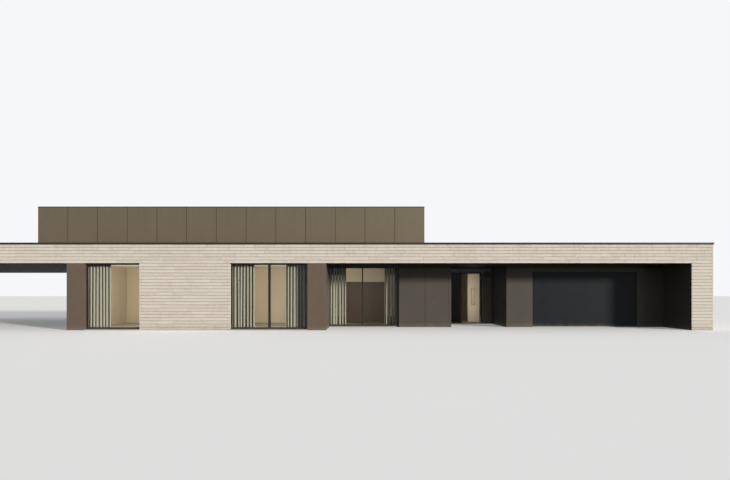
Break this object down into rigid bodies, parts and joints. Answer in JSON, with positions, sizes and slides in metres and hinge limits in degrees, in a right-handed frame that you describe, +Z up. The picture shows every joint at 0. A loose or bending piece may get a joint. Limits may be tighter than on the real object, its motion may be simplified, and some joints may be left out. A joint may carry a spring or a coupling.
{
  "type": "modern bungalow",
  "caption": "Long flat-roofed house with a white brick band, a dark recess with an open entrance door and a wide garage door, a covered terrace and a raised clad roof volume.",
  "frame": {"origin": "on the ground, in the middle of the house's length and depth", "axes": "+X along the front to the right as seen from outside, +Y into the house, +Z up"},
  "size_m": [39.8, 10.04, 6],
  "materials": {
    "concrete": "smooth concrete",
    "brick": "whitewashed long brick with raked bed joints",
    "front_panel": "satin metal cladding",
    "dark_cladding": "semi-gloss dark cladding",
    "header": "satin grey panel",
    "garage_door": "semi-gloss dark paint",
    "soffit": "matt dark boards",
    "inner_plaster": "beige plaster",
    "panelling": "dark veneer",
    "roofing": "roofing membrane",
    "coping": "folded sheet metal",
    "cassette": "matt taupe cassettes",
    "window_frame": "dark powder coat",
    "glass": "clear glass units",
    "door_leaf": "satin cream paint",
    "door_pull": "aged brass",
    "hinge": "brushed steel",
    "lamp": "black paint",
    "track": "white paint",
    "curtain": "off-white pleated cloth"
  },
  "bodies": {
    "house": {"floor_slab": "concrete", "terrace_piers": "brick", "terrace_wall": "brick", "front_panels": "front_panel", "front_wall": "brick", "recess_left_wall": "dark_cladding", "entrance_panel_wall": "dark_cladding", "entrance_side_walls": "dark_cladding", "entrance_end_wall": "dark_cladding", "entrance_header": "header", "garage_side_panels": "dark_cladding", "garage_header": "dark_cladding", "garage_door": "garage_door", "right_front_pier": "brick", "recess_side_panel": "dark_cladding", "right_side_wall": "brick", "rear_wall": "brick", "spine_wall": "inner_plaster", "wall_panelling": "panelling", "roof_slab": "roofing", "soffits": "soffit", "front_band": "brick", "rear_band": "brick", "end_bands": "brick", "long_copings": "coping", "end_copings": "coping", "upper_long_walls": "cassette", "upper_end_walls": "cassette", "upper_roof": "coping", "window_a_frame": "window_frame", "window_b_frame": "window_frame", "window_c_frame": "window_frame", "front_window_glass": "glass", "garden_window_frames": "window_frame", "garden_window_glass": "glass", "sidelight_frame": "window_frame", "door_frame": "window_frame", "door_hinges": "hinge", "entrance_lamp": "lamp", "curtain_tracks": "track", "curtain_a": "curtain", "curtains_b": "curtain", "curtains_c": "curtain"},
    "entrance_door": {"front_door": "door_leaf", "door_handle": "door_pull"}
  },
  "joints": [
    {"name": "entrance_door_hinge", "type": "hinge", "parent": "house", "child": "entrance_door", "pos_m": [10.852, -0.138, 1.37], "axis": [0, 0, 1], "range_deg": [-25, 65]}
  ]
}
